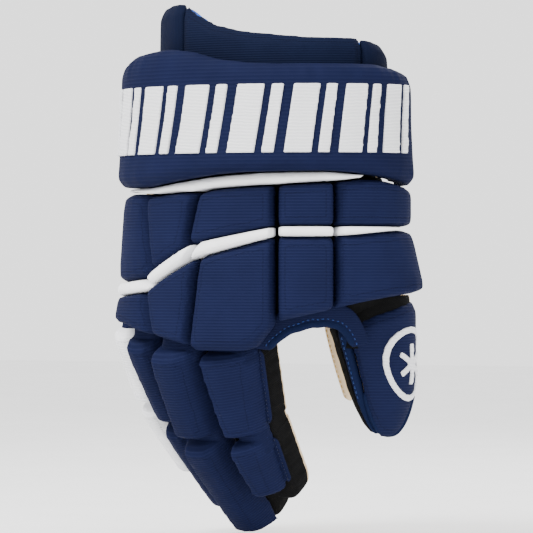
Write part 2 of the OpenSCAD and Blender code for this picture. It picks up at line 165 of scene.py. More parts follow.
def ribbed(name, base, highlight_colour, pitch=1.9 * MM, slope=0.0, relief=0.22 * MM, seam=0.0, specular=0.03):
    """Ribbed nylon: fine ridges across the piece, with a painted highlight in dotted dashes along the rib
    crests, and a row of needle holes at a set distance from an edge.
    """
    s = Shader(name)
    across, along, edge = s.cloth_axes()
    rib = s.wave(s.math("ADD", along, s.math("MULTIPLY", across, slope)), pitch)
    dashes = s.wave(s.math("ADD", across, s.math("MULTIPLY", along, 0.7)), 0.9 * MM)
    # painted highlight: the rib crests, broken into dashes, take the lighter highlight colour and a little less
    # roughness
    painted_rib_highlight = s.math("MULTIPLY", s.math("POWER", rib, 3.0), s.math("ADD", s.math("MULTIPLY", dashes, 0.7), 0.3))
    cloudy = s.noise(30.0, 4.0)
    ground = s.ramp(cloudy, 0.3, 0.75, scaled(base, 0.86), scaled(base, 1.14))
    colour = s.mix(s.math("MULTIPLY", painted_rib_highlight, 0.6), ground, highlight_colour)
    height = s.math("ADD", s.math("MULTIPLY", rib, 0.8), s.math("MULTIPLY", dashes, 0.2))
    if seam:
        holes = s.math("POWER", s.wave(s.math("ADD", across, along), 2.5 * MM), 2.0)
        depth = s.math("ADD", s.math("MULTIPLY", holes, 0.7), 0.3)
        line = s.math("MULTIPLY", s.band(edge, seam, 0.9 * MM), depth)
        colour = s.mix(line, colour, scaled(base, 0.6))
        height = s.math("SUBTRACT", height, s.math("MULTIPLY", line, 1.0))
    s.bump(height, relief)
    return s.finish(colour, s.math("SUBTRACT", 0.75, s.math("MULTIPLY", painted_rib_highlight, 0.12)), 0.0, specular)


def smooth_leather(name, base, shade, relief=0.12 * MM):
    """Smooth coated leather with a fine grain and faint handling marks."""
    s = Shader(name)
    grain = s.node("ShaderNodeTexVoronoi", feature="DISTANCE_TO_EDGE")
    s.feed(grain.inputs["Scale"], 900.0)
    s.feed(grain.inputs["Vector"], s.node("ShaderNodeTexCoord").outputs["Object"])
    fine = s.math("MINIMUM", s.math("MULTIPLY", grain.outputs["Distance"], 6.0), 1.0)
    creases = s.noise(120.0, 5.0)
    colour = s.ramp(s.noise(45.0, 4.0), 0.35, 0.7, shade, base)
    s.bump(s.math("ADD", s.math("MULTIPLY", fine, 0.5), s.math("MULTIPLY", creases, 0.8)), relief)
    return s.finish(colour, s.math("ADD", 0.35, s.math("MULTIPLY", creases, 0.2)), 0.0, 0.3)


def mesh_cloth(name, base, highlight_colour, pitch=1.1 * MM):
    """Stretch mesh: a close grid of knitted cells, with a painted highlight on the cell tops in patches."""
    s = Shader(name)
    across, along, _ = s.cloth_axes()
    one_way, other_way = s.math("ADD", across, along), s.math("SUBTRACT", across, along)
    cell = s.math("MULTIPLY", s.wave(one_way, pitch), s.wave(other_way, pitch))
    fuzz = s.noise(260.0, 4.0)
    # painted highlight: the raised cell tops turn to the lighter colour, in noise patches
    painted_cell_highlight = s.math("MULTIPLY", s.noise(60.0, 5.0), cell)
    colour = s.mix(s.math("MULTIPLY", painted_cell_highlight, 0.8), base, highlight_colour)
    s.bump(s.math("ADD", cell, s.math("MULTIPLY", fuzz, 0.5)), 0.25 * MM)
    return s.finish(colour, s.math("ADD", 0.78, s.math("MULTIPLY", fuzz, 0.15)), 0.0, 0.03)


def suede(name, base, dark):
    """Brushed suede: nap direction in patches, fine fibres and darker handled areas."""
    s = Shader(name)
    nap = s.noise(30.0, 6.0, 0.65)
    fibre = s.noise(1500.0, 3.0, 0.7)
    ground = s.ramp(nap, 0.3, 0.7, dark, base)
    colour = s.mix(s.math("MULTIPLY", fibre, 0.25), ground, tuple(min(1.0, c * 1.12) for c in base))
    s.bump(s.math("ADD", s.math("MULTIPLY", fibre, 0.5), s.math("MULTIPLY", nap, 0.6)), 0.35 * MM)
    return s.finish(colour, s.math("ADD", 0.82, s.math("MULTIPLY", nap, 0.12)), 0.15, 0.15)


def satin_thread(name, base, shade, pitch=0.62 * MM):
    """Satin stitch: parallel glossy threads laid side by side, with painted shade in the grooves between them.
    """
    s = Shader(name)
    _, along, _ = s.cloth_axes()
    threads = s.wave(s.math("ADD", along, s.math("MULTIPLY", s.noise(240.0, 2.0), 0.6 * MM)), pitch)
    # painted shade: the grooves between the threads take the darker shade colour
    colour = s.mix(s.math("POWER", threads, 0.6), shade, base)
    s.bump(s.math("ADD", threads, s.math("MULTIPLY", s.noise(420.0), 0.5)), 0.2 * MM)
    return s.finish(colour, 0.45, 0.0, 0.3)


def brushed_lining(name, base, highlight_colour):
    """Soft looped lining, with a painted highlight on the loop tops in patches."""
    s = Shader(name)
    across, along, _ = s.cloth_axes()
    loops = s.math("MULTIPLY", s.wave(across, 1.3 * MM), s.wave(along, 1.0 * MM))
    # painted highlight: the raised loop tops turn to the lighter colour, in noise patches
    colour = s.mix(s.math("MULTIPLY", loops, s.noise(90.0)), base, highlight_colour)
    s.bump(s.math("ADD", loops, s.noise(700.0)), 0.3 * MM)
    return s.finish(colour, 0.85, 0.2, 0.1)


def moulded_plastic(name, base):
    """Moulded plastic with a fine speckle."""
    s = Shader(name)
    speck = s.noise(500.0, 2.0)
    colour = s.ramp(s.noise(40.0), 0.3, 0.7, scaled(base, 0.85), base)
    s.bump(speck, 0.05 * MM)
    return s.finish(colour, s.math("ADD", 0.4, s.math("MULTIPLY", speck, 0.1)), 0.0, 0.5)


SEAM = 4.2 * MM
# the second colour of each ribbed, mesh and lining cloth is a painted highlight on its raised ribs, cells or
# loops
NAVY_BASE, NAVY_HIGHLIGHT = (0.0056, 0.0078, 0.0285), (0.0120, 0.0155, 0.048)
GUARD_BASE = (0.0034, 0.0053, 0.0165)
NAVY = ribbed("navy_ribbed_nylon", NAVY_BASE, NAVY_HIGHLIGHT, seam=SEAM)
BINDING_BASE, BINDING_HIGHLIGHT = (0.0040, 0.0072, 0.0275), (0.009, 0.016, 0.048)
FINE_PITCH = 1.5 * MM
FINE_BASE, FINE_HIGHLIGHT = scaled(NAVY_BASE, 0.9), scaled(NAVY_HIGHLIGHT, 0.8)
NAVY_FINE = ribbed("navy_fine_rib", FINE_BASE, FINE_HIGHLIGHT, FINE_PITCH, relief=0.16 * MM)
NAVY_TWILL = ribbed("navy_twill", GUARD_BASE, scaled(GUARD_BASE, 2.4), 1.25 * MM, 0.9, 0.18 * MM)
GUARD = ribbed("guard_rib", GUARD_BASE, scaled(GUARD_BASE, 1.9), FINE_PITCH, relief=0.16 * MM, seam=3.4 * MM)
ROLL = ribbed("roll_knit", scaled(NAVY_BASE, 0.95), scaled(NAVY_HIGHLIGHT, 0.75), 2.4 * MM, relief=0.2 * MM)
BINDING = ribbed("binding_tape", BINDING_BASE, BINDING_HIGHLIGHT, 0.8 * MM, 0.6, 0.12 * MM)
WHITE = smooth_leather("white_coated_leather", (0.89, 0.89, 0.90), (0.82, 0.82, 0.84))
WHITE_RIB = ribbed("white_ribbed_nylon", (0.74, 0.74, 0.76), (0.84, 0.84, 0.86), seam=SEAM, specular=0.2)
BLACK = mesh_cloth("black_stretch_mesh", (0.0034, 0.0034, 0.0036), (0.018, 0.018, 0.018))
TAN = suede("tan_suede", (0.66, 0.52, 0.34), (0.53, 0.40, 0.24))
SUEDE_PATCH = suede("tan_suede_patch", (0.60, 0.46, 0.28), (0.48, 0.35, 0.20))
BLUE = brushed_lining("blue_lining", (0.008, 0.07, 0.42), (0.02, 0.17, 0.70))
THREAD = satin_thread("white_satin_thread", (0.88, 0.88, 0.88), (0.42, 0.43, 0.48), 0.9 * MM)
STITCH_BLUE = satin_thread("blue_stitch", (0.012, 0.045, 0.20), (0.006, 0.02, 0.09), 0.4 * MM)
STITCH_YELLOW = satin_thread("yellow_stitch", (0.62, 0.38, 0.07), (0.42, 0.22, 0.04), 0.4 * MM)
STITCH_NAVY = satin_thread("navy_stitch", (0.005, 0.010, 0.045), (0.003, 0.005, 0.022), 0.4 * MM)
STITCH_GREY = satin_thread("grey_stitch", (0.09, 0.09, 0.09), (0.03, 0.03, 0.03), 0.4 * MM)
PLASTIC = moulded_plastic("grey_plastic", (0.36, 0.37, 0.40))


# ---------------------------------------------------------------- mesh helpers
def vertex_values(mesh, field="co"):
    flat = np.zeros(len(mesh.vertices) * 3)
    mesh.vertices.foreach_get(field, flat)
    return flat.reshape(-1, 3)


def coords(obj):
    return vertex_values(obj.data)


def move_to(obj, points):
    obj.data.vertices.foreach_set("co", np.asarray(points, float).ravel())
    obj.data.update()


def unit(vectors):
    return vectors / np.maximum(np.linalg.norm(vectors, axis=-1, keepdims=True), 1e-9)


def link(name, data, material):
    obj = bpy.data.objects.new(name, data)
    bpy.context.scene.collection.objects.link(obj)
    data.materials.clear()
    data.materials.append(material)
    return obj


def build(name, points, faces, material):
    """A new smooth-shaded mesh object."""
    data = bpy.data.meshes.new(name)
    data.from_pydata([tuple(p) for p in points], [], faces)
    data.polygons.foreach_set("use_smooth", [True] * len(data.polygons))
    return link(name, data, material)


def modify(obj, kind, **settings):
    made = obj.modifiers.new(kind.title(), kind)
    for key, value in settings.items():
        setattr(made, key, value)
    return made


def bake(obj):
    """Applies the object's modifiers to its mesh."""
    graph = bpy.context.evaluated_depsgraph_get()
    baked = bpy.data.meshes.new_from_object(obj.evaluated_get(graph), depsgraph=graph)
    material = obj.data.materials[0]
    obj.modifiers.clear()
    obj.data = baked
    baked.materials.clear()
    baked.materials.append(material)
    baked.polygons.foreach_set("use_smooth", [True] * len(baked.polygons))
    return obj


def finer(obj, levels=1):
    modify(obj, "SUBSURF", levels=levels, render_levels=levels)
    return bake(obj)


def copy_of(node, name, material):
    obj = link(name, NODES[node].data.copy(), material)
    modify(obj, "WELD", merge_threshold=0.01 * MM)
    return obj


def remeshed(node, name, material, voxel, rounds, strength=0.5):
    """A soft copy of a CAD solid: remeshed, with its edges rounded."""
    obj = copy_of(node, name, material)
    modify(obj, "REMESH", mode="VOXEL", voxel_size=voxel)
    if rounds:
        modify(obj, "SMOOTH", factor=strength, iterations=rounds)
    return bake(obj)


def surface_of(*objs):
    """A search tree over the meshes of some pieces."""
    points, faces = [], []
    for obj in objs:
        first = len(points)
        points.extend(v.co for v in obj.data.vertices)
        faces.extend([first + v for v in p.vertices] for p in obj.data.polygons)
    return BVHTree.FromPolygons(points, faces)


def set_cloth(obj, surface, edges=False):
    """Keeps the cloth coordinates of each point, so that ribs and seams run true on every piece."""
    points = coords(obj)
    across, along = surface.cloth(points)
    edge = from_edge(obj, points, surface) if edges else np.full(len(points), 50 * MM)
    values = np.stack([across, along, edge], 1).astype(np.float32)
    attribute = obj.data.attributes.get("weave") or obj.data.attributes.new("weave", "FLOAT_VECTOR", "POINT")
    attribute.data.foreach_set("vector", values.ravel())


def from_edge(obj, points, surface):
    """How far each point of the outer face lies from the place where the face turns down."""
    facing = (vertex_values(obj.data, "normal") * surface.outward(points)).sum(1)
    turned = np.flatnonzero((facing < 0.6) & (facing > 0.0))
    tree = KDTree(len(turned))
    for index in turned:
        tree.insert(points[index], int(index))
    tree.balance()
    distance = np.zeros(len(points))
    for index in np.flatnonzero(facing >= 0.6):
        distance[index] = tree.find(points[index])[2]
    return distance


def swell(jobs, pressure, frames=8):
    """Cloth with inner pressure on every padded piece at once; no point moves further than its cap."""
    scene = bpy.context.scene
    starts = {obj.name: coords(obj) for obj, _ in jobs}
    for obj, _ in jobs:
        cloth = modify(obj, "CLOTH")
        cloth.settings.use_pressure = True
        cloth.settings.uniform_pressure_force = pressure
        cloth.settings.quality = 3
        cloth.settings.effector_weights.gravity = 0
        cloth.point_cache.frame_start = 1
        cloth.point_cache.frame_end = frames
    for step in range(1, frames + 1):
        scene.frame_set(step)
    graph = bpy.context.evaluated_depsgraph_get()
    results = {obj.name: vertex_values(obj.evaluated_get(graph).data) for obj, _ in jobs}
    for obj, cap in jobs:
        obj.modifiers.clear()
        shift = results[obj.name] - starts[obj.name]
        shift -= shift.mean(0)
        size = np.linalg.norm(shift, axis=1, keepdims=True)
        move_to(obj, starts[obj.name] + shift * np.minimum(1, cap / np.maximum(size, 1e-9)))
    scene.frame_set(1)


# ---------------------------------------------------------------- surfaces that cloth lies on
HAND_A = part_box("pad_upper_thumb_side")[1].x
HAND_B = -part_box("pad_upper_middle")[0].y
ARC = 0.85 * HAND_A


class Hand:
    """The oval tube of the hand: across is measured round the oval and along is the height."""

    def cloth(self, points):
        return np.arctan2(-points[:, 1] / HAND_B, points[:, 0] / HAND_A) * ARC, points[:, 2]

    def outward(self, points):
        lean = np.stack([points[:, 0] / HAND_A**2, points[:, 1] / HAND_B**2, np.zeros(len(points))], 1)
        return unit(lean)

    def point(self, across, z, inset):
        turn = np.asarray(across) / ARC
        x, y = (HAND_A - inset) * np.cos(turn), -(HAND_B - inset) * np.sin(turn)
        return np.stack([x, y, np.broadcast_to(z, np.shape(x))], -1)


class Thumb:
    """The leaning tube of the thumb, round its own axis."""

    def __init__(self):
        shell = ("thumb_pad", "thumb_gusset", "thumb_palm", "thumb_binding")
        tube = np.vstack([coords(NODES[n]) for n in shell])
        self.tube = tube
        self.fit = [np.polyfit(tube[:, 2], tube[:, k], 1) for k in (0, 1)]

    def centre(self, z):
        return np.stack([np.polyval(self.fit[0], z), np.polyval(self.fit[1], z)], -1)

    def cloth(self, points):
        off = points[:, :2] - self.centre(points[:, 2])
        return np.arctan2(off[:, 0], -off[:, 1]) * 22 * MM, points[:, 2]

    def outward(self, points):
        off = np.zeros_like(points)
        off[:, :2] = points[:, :2] - self.centre(points[:, 2])
        return unit(off)


class Flat:
    """A sheet across the hand, seen from the palm."""

    def cloth(self, points):
        return points[:, 0], points[:, 2]

    def outward(self, points):
        return np.tile([0.0, 1.0, 0.0], (len(points), 1))


class Segment:
    """The frame of one finger piece: x toward the thumb, y back toward the wrist, z out of its back."""

    def __init__(self, finger, part):
        joint = JOINTS[finger + ("_knuckle" if part == "base" else "_middle_bend")]
        self.finger, self.part, self.body = finger, part, f"{finger}_{part}"
        self.origin = np.array(joint["pos_m"])
        self.x = unit(np.array(joint["axis"], float))
        plate = coords(NODES[f"{finger}_palm_{part}"])
        pad = coords(NODES[f"{finger}_pad_{part}"])
        _, _, axes = np.linalg.svd(plate - plate.mean(0), full_matrices=False)
        normal = unit(axes[2] - self.x * (axes[2] @ self.x))
        self.z = normal * np.sign((pad.mean(0) - plate.mean(0)) @ normal)
        self.y = np.cross(self.z, self.x)
        flat = self.local(plate)
        near, far = flat[flat[:, 1] > flat[:, 1].max() - MM], flat[flat[:, 1] < flat[:, 1].min() + 5 * MM]
        self.far = flat[:, 1].min()
        self.near_sides = near[:, 0].min(), near[:, 0].max()
        self.far_sides = far[:, 0].min(), far[:, 0].max()
        self.height = self.local(coords(NODES[f"{finger}_gusset_{part}"]))[:, 2].max()
        self.top = self.local(pad)[:, 2].max()
        self.pad_end = self.local(pad)[:, 1].min()

    def local(self, points):
        p = np.asarray(points) - self.origin
        return np.stack([p @ self.x, p @ self.y, p @ self.z], 1)

    def world(self, points):
        p = np.asarray(points)
        return self.origin + p[:, :1] * self.x + p[:, 1:2] * self.y + p[:, 2:3] * self.z

    def sides(self, y):
        share = np.clip(y / self.far, 0, 1)
        return [a + (b - a) * share for a, b in zip(self.near_sides, self.far_sides)]

    def cloth(self, points):
        own = self.local(points)
        return own[:, 0], own[:, 1]

    def outward(self, points):
        return np.tile(self.z, (len(points), 1))


HAND, THUMB, PALM = Hand(), Thumb(), Flat()
FINGERS = ("index", "middle", "ring", "little")
SEGMENTS = {(f, p): Segment(f, p) for f in FINGERS for p in ("base", "tip")}

# ---------------------------------------------------------------- pads
COLUMNS = ("outer", "ring", "middle", "index", "thumb_side")
pads = []


def pad(node, name, material, body, surface, cap, voxel=1.7 * MM, rounds=1, fill=0.9):
    obj = remeshed(node, name, material, voxel, rounds)
    pads.append({"obj": obj, "node": node, "body": body, "surface": surface, "cap": cap, "fill": fill})
    return obj


def pucker(obj, depth, pitch):
    """Gathers along the top edge of a rolled piece, where the cloth is sewn down."""
    points = coords(obj)
    across, _ = HAND.cloth(points)
    tops = {}
    for index, spot in enumerate(np.round(across / (4 * MM)).astype(int)):
        tops[spot] = max(tops.get(spot, -1.0), points[index, 2])
    below = np.array([tops[s] for s in np.round(across / (4 * MM)).astype(int)]) - points[:, 2]
    near_top = np.exp(-((below / (9 * MM)) ** 2))
    wave = np.sin(across * TAU / pitch + 2.2 * np.sin(across * 60)) * (0.6 + 0.4 * np.sin(across * 95))
    move_to(obj, points - HAND.outward(points) * (depth * near_top * (0.5 + 0.5 * wave))[:, None])


for row in ("upper", "lower"):
    for column in COLUMNS:
        pad(f"pad_{row}_{column}", f"{row}_{column}_pad", NAVY, "hand", HAND, 0.7 * MM)
for column in COLUMNS:
    pad(f"stripe_{column}", f"{column}_stripe", WHITE, "hand", HAND, 0.3 * MM, 1.2 * MM)
pad("collar_strip", "collar", WHITE, "hand", HAND, 0.4 * MM, 1.5 * MM)
for segment in SEGMENTS.values():
    shade = WHITE_RIB if segment.finger == "little" else NAVY
    name = f"{segment.finger}_pad_{segment.part}"
    pad(name, f"{segment.body}_pad", shade, segment.body, segment, 0.6 * MM)
thumb_pad = pad("thumb_pad", "thumb_back_pad", NAVY, "thumb", THUMB, 0.8 * MM)
roll = pad("cuff_roll", "roll", ROLL, "cuff_roll", HAND, 1.2 * MM, 2.2 * MM, 3)
pucker(roll, 1.1 * MM, 11 * MM)
for side, cloth_material in (("outer", NAVY_TWILL), ("centre", GUARD), ("thumb_side", NAVY_TWILL)):
    pad(f"wrist_guard_{side}", f"guard_{side}", cloth_material, "wrist_guard", HAND, 0.6 * MM)

before = {entry["obj"].name: coords(entry["obj"]) for entry in pads}
swell([(entry["obj"], entry["cap"]) for entry in pads], 5.0)
shifts = {name: (start, coords(bpy.data.objects[name]) - start) for name, start in before.items()}
for entry in pads:
    finer(entry["obj"])
    set_cloth(entry["obj"], entry["surface"], edges=True)
    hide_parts(entry["node"])
    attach(entry["obj"], entry["body"])


def lifted_with(obj, padded):
    """Moves a sewn-on piece out by as much as the pad beneath it swelled."""
    start, shift = shifts[padded.name]
    tree = KDTree(len(start))
    for index, point in enumerate(start):
        tree.insert(point, index)
    tree.balance()
    points = coords(obj)
    move_to(obj, points + np.array([shift[tree.find(p)[1]] for p in points]))


# ---------------------------------------------------------------- finger stalls
def rounded_box(left, right, top, n, power=0.5):
    """The section of a finger, from the middle of the palm face round by the little-finger side."""
    angle = np.linspace(-math.pi / 2, 1.5 * math.pi, n, endpoint=False)
    cos, sin = np.cos(angle), np.sin(angle)
    x = (left + right) / 2 - (right - left) / 2 * np.sign(cos) * np.abs(cos) ** power
    return x, top / 2 + top / 2 * np.sign(sin) * np.abs(sin) ** power


def tube_faces(rows, n, cap=False):
    faces = []
    for k in range(rows - 1):
        for i in range(n):
            j = (i + 1) % n
            faces.append((k * n + i, k * n + j, (k + 1) * n + j, (k + 1) * n + i))
    if cap:
        faces.append(tuple((rows - 1) * n + i for i in range(n)))
    return faces


def grid_faces(rows, n):
    """Faces of an open sheet of rows of n points."""
    starts = [k * n + i for k in range(rows - 1) for i in range(n - 1)]
    return [(v, v + 1, v + n + 1, v + n) for v in starts]


def strips(name, points, faces, heights, parts, surface):
    """One tube split by height into strips of different cloth. Returns the pieces by name."""
    made = {}
    middles = np.array([np.mean([heights[v] for v in face]) for face in faces])
    floor_height = -np.inf
    for label, top, material in parts:
        chosen = [faces[i] for i in np.flatnonzero((middles >= floor_height) & (middles < top))]
        floor_height = top
        used = sorted({v for face in chosen for v in face})
        index = {v: i for i, v in enumerate(used)}
        obj = build(f"{name}_{label}", points[used], [tuple(index[v] for v in f) for f in chosen], material)
        modify(obj, "SOLIDIFY", thickness=1.1 * MM, offset=-1)
        bake(obj)
        finer(obj)
        set_cloth(obj, surface)
        made[label] = obj
    return made


def stall(segment):
    """The finger's leather and mesh tube, closed over the fingertip."""
    tip = segment.part == "tip"
    rows, n = 34, 44
    start, stop = -2.0 * MM, segment.far + (0 if tip else 2 * MM)
    points, heights = [], []
    closing = 0.42 * segment.height
    for u in np.linspace(0, 1, rows):
        y = start + (stop - start) * u
        past = max(0.0, (u - 0.74) / 0.26) if tip else 0.0
        shrink = math.sqrt(max(0.0, 1 - past**3)) * 0.98 + 0.02
        squeeze = 0.3 * shrink + 0.7 * math.sqrt(max(0.0, 1 - past**5))
        left, right = segment.sides(y)
        x, z = rounded_box(left, right, segment.height * 0.98, n)
        middle = (left + right) / 2
        crease = 0.35 * MM * np.sin(y * 700 + x * 160) + 0.25 * MM * np.sin(y * 1500 - z * 300)
        x = middle + (x - middle) * 0.955 * shrink + crease * np.sign(x - middle) * 0.7
        height = 0.3 * MM + closing + (z - closing) * squeeze + crease * 0.3
        points.append(np.stack([x, np.full(n, y), height], 1))
        heights.append(z)
    points, heights = np.vstack(points), np.concatenate(heights)
    parts = (("palm", 4.2 * MM, TAN), ("gusset", np.inf, BLACK))
    made = strips(segment.body, segment.world(points), tube_faces(rows, n, tip), heights, parts, segment)
    for label, obj in made.items():
        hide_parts(f"{segment.finger}_{label}_{segment.part}")
        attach(obj, segment.body)


def turned(segment, angle):
    """The direction out of the segment's back, turned about its hinge."""
    cos, sin = math.cos(angle), math.sin(angle)
    return segment.z * cos - segment.y * sin


def bend(segment, parent_back, reach, name, tops):
    """The cloth across a finger joint, under the pads, from the parent's direction to the finger's own."""
    angle = math.atan2(np.cross(segment.z, parent_back) @ segment.x, segment.z @ parent_back)
    rows, n = 15, 48
    left, right = segment.sides(0)
    points, heights = [], []
    for w in np.linspace(0, 1, rows):
        share = w * w * (3 - 2 * w)
        back = turned(segment, angle * (1 - share))
        along = np.cross(segment.x, back)
        top = segment.top * (tops[0] + (tops[1] - tops[0]) * share)
        inset = 1.0 * MM + (1 - share) * (tops[1] - tops[0]) * 12 * MM
        x, z = rounded_box(left + inset, right - inset, top, n)
        pleat = 0.6 * MM * math.sin(w * TAU * 4.5)
        z = 0.5 * MM + z + pleat * (z > 0.6 * top)
        reached = (-1 + 2 * w) * reach
        points.append(segment.origin + x[:, None] * segment.x + z[:, None] * back + reached * along)
        heights.append(z)
    cover = WHITE_RIB if segment.finger == "little" and segment.part == "tip" else NAVY_FINE
    side = NAVY_FINE if segment.finger == "little" else BLACK
    parts = (("palm", 4.2 * MM, TAN), ("side", segment.height, side), ("cover", np.inf, cover))
    made = strips(name, np.vstack(points), tube_faces(rows, n), np.concatenate(heights), parts, segment)
    for obj in made.values():
        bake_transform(obj)


for segment in SEGMENTS.values():
    stall(segment)
for finger in FINGERS:
    base, tip = SEGMENTS[finger, "base"], SEGMENTS[finger, "tip"]
    down = np.cross([0, 0, 1], base.x)
    hand_back = unit(-down * math.cos(math.radians(10)) - np.array([0, 0, 1]) * math.sin(math.radians(10)))
    bend(base, hand_back, 9 * MM, f"{finger}_knuckle_cloth", (0.5, 0.78))
    bend(tip, base.z, 9 * MM, f"{finger}_bend_cloth", (0.74, 0.74))


# ---------------------------------------------------------------- sheets kept close to their CAD shape
def sheet(node, name, material, body, surface, wrinkle, cuts=2, shaped=None):
    """A fabric piece from a thin CAD panel: finer, its edges rounded, with soft wrinkles."""
    obj = copy_of(node, name, material)
    modify(obj, "SUBSURF", subdivision_type="SIMPLE", levels=cuts, render_levels=cuts)
    modify(obj, "SMOOTH", factor=0.5, iterations=3)
    bake(obj)
    points = shaped(coords(obj)) if shaped else coords(obj)
    x, y, z = points.T
    wave = np.sin(z * 230 + x * 90) * np.sin(x * 170 - z * 60)
    wave += 0.5 * np.sin(z * 610 + x * 340 + 3 * np.sin(y * 90))
    move_to(obj, points + surface.outward(points) * (wrinkle * wave)[:, None])
    set_cloth(obj, surface)
    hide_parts(node)
    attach(obj, body)
    return obj


def palm_shape(points):
    """The palm leather's real form: side edges rolled round to the hand, a dipped top, cushions, folds."""
    low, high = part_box("palm_panel")
    x, y, z = points.T
    drop = np.clip((high.z - z) / (high.z - low.z), 0, 1)
    outer = np.clip((low.x + 24 * MM - x) / (24 * MM), 0, 1)
    inner = np.clip((x - high.x + 28 * MM) / (28 * MM), 0, 1)
    slant = np.clip((x - high.x + 16 * MM) / (16 * MM), 0, 1)
    thumb_cushion = np.exp(-(((x - 0.038) / 0.024) ** 2) - ((z + 0.104) / 0.026) ** 2)
    outer_cushion = np.exp(-(((x + 0.064) / 0.024) ** 2) - ((z + 0.106) / 0.028) ** 2)
    flat = (1 - outer) * (1 - inner)
    folds = np.sin((z + 6 * (x + 0.02) ** 2) * TAU / (10 * MM) + 1.5 * np.sin(x * 60))
    folds *= np.exp(-(((drop - 0.72) / 0.16) ** 2))
    pulls = np.sin(x * TAU / (17 * MM) + 2 * np.sin(z * 40)) * drop**4
    lift = 2.6 * MM * thumb_cushion + 3.0 * MM * outer_cushion + (0.9 * MM * folds + 0.8 * MM * pulls) * flat
    dip = 9 * MM * np.clip(1 - ((x + 0.015) / 0.085) ** 2, 0, 1) * np.clip(1 - 1.8 * drop, 0, 1) ** 2
    return np.stack([
        x + outer * 11 * MM * (1 - drop) - (5.5 + 4.5 * drop) * MM * np.sin(outer * math.pi / 2),
        y + lift - 8.5 * MM * outer**3 - 22.5 * MM * inner**2 + 15 * MM * slant,
        z - dip + 5 * MM * outer**2 * drop**2,
    ], 1)


sheet("backhand_base", "base_layer", BLACK, "hand", HAND, 0.1 * MM, 1)
sheet("hand_liner", "inner_lining", BLUE, "hand", HAND, 0.1 * MM, 1)
sheet("wrist_guard_lining", "guard_lining", BLUE, "wrist_guard", HAND, 0.15 * MM, 1)
sheet("outer_side_panel", "side_panel", NAVY_FINE, "hand", HAND, 0.3 * MM, 3)
palm = sheet("palm_panel", "palm_leather", TAN, "hand", PALM, 0.25 * MM, 3, palm_shape)
thumb_mesh = sheet("thumb_gusset", "thumb_inner_mesh", BLACK, "thumb", THUMB, 0.25 * MM)
thumb_leather = sheet("thumb_palm", "thumb_leather", TAN, "thumb", THUMB, 0.35 * MM)
for node in ("backhand_shields", "thumb_splint", "cuff_roll_stiffener"):
    cad = NODES[node]
    cad.data.materials.clear()
    cad.data.materials.append(PLASTIC)

stretch = copy_of("thumb_stretch_panel", "thumb_stretch", BLACK)
modify(stretch, "SUBSURF", subdivision_type="SIMPLE", levels=3, render_levels=3)
modify(stretch, "SMOOTH", factor=0.5, iterations=3)
bake(stretch)
set_cloth(stretch, HAND)
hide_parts("thumb_stretch_panel")
ROOT_TOP, ROOT_LOW = Vector((*THUMB.centre(-0.150), -0.150)), Vector((*THUMB.centre(-0.170), -0.170))
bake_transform(stretch)


def thumb_root():
    """The sleeve that joins the thumb to the hand, inside the stretch panel and the palm."""
    tube = THUMB.tube
    ring = tube[(tube[:, 2] > -0.180) & (tube[:, 2] < -0.166)]
    off = ring[:, :2] - THUMB.centre(ring[:, 2])
    angle, radius = np.arctan2(off[:, 1], off[:, 0]), np.linalg.norm(off, axis=1)
    rows, n = 12, 48
    spots = np.linspace(-math.pi, math.pi, n, endpoint=False)
    spread = [radius[np.abs((angle - spot + math.pi) % TAU - math.pi) < 0.35].max() for spot in spots]
    smooth = np.mean([np.roll(spread, k) for k in (-2, -1, 0, 1, 2)], axis=0)
    points, depth = [], []
    for z in np.linspace(-0.144, -0.178, rows):
        size = smooth - 3.0 * MM + 0.3 * MM * math.sin(z * 1800)
        flat = THUMB.centre(z) + np.stack([np.cos(spots), np.sin(spots)], 1) * size[:, None]
        points.append(np.column_stack([flat, np.full(n, z)]))
        depth.append(np.sin(spots))
    parts = (("front", 0.35, BLACK), ("palm", np.inf, TAN))
    made = strips("thumb_root", np.vstack(points), tube_faces(rows, n), np.concatenate(depth), parts, THUMB)
    for obj in made.values():
        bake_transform(obj)


thumb_root()


def raised(node, name, material, body, surface, voxel, rounds, padded=None):
    """A sewn-on raised piece, kept crisp."""
    obj = remeshed(node, name, material, voxel, rounds)
    if padded:
        lifted_with(obj, padded)
    set_cloth(obj, surface)
    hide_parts(node)
    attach(obj, body)
    return obj


thumb_tape = raised("thumb_binding", "thumb_roll", BINDING, "thumb", THUMB, 1.0 * MM, 3)
raised("thumb_emblem", "emblem", THREAD, "thumb", THUMB, 0.7 * MM, 1, thumb_pad)
raised("cuff_roll_embroidery", "embroidery", THREAD, "cuff_roll", HAND, 0.9 * MM, 1, roll)


# ---------------------------------------------------------------- bindings and stitches
def resampled(path, step):
    """Points at even steps along a path."""
    path = np.asarray(path, float)
    length = np.concatenate([[0], np.cumsum(np.linalg.norm(np.diff(path, axis=0), axis=1))])
    spots = np.linspace(0, length[-1], max(2, int(round(length[-1] / step)) + 1))
    return np.stack([np.interp(spots, length, path[:, k]) for k in range(3)], 1)


def tube_along(path, normals, wide, thick, n=14):
    """Points of a flattened tube that follows a path on a surface."""
    run = unit(np.gradient(path, axis=0))
    side = unit(np.cross(run, normals))
    up = np.cross(side, run)
    turn = np.linspace(0, TAU, n, endpoint=False)
    ends = np.minimum(1, np.sqrt(np.minimum(np.arange(len(path)), np.arange(len(path))[::-1]) / 2.0) + 0.05)
    rows = [
        p + e * (wide / 2 * np.outer(np.cos(turn), s) + thick / 2 * np.outer(np.sin(turn), u))
        for p, s, u, e in zip(path, side, up, ends)
    ]
    return np.vstack(rows)


def tape(name, path, normals, wide, thick, material, surface):
    points = tube_along(path, normals, wide, thick)
    obj = build(name, points, tube_faces(len(path), 14), material)
    finer(obj)
    set_cloth(obj, surface)
    return obj


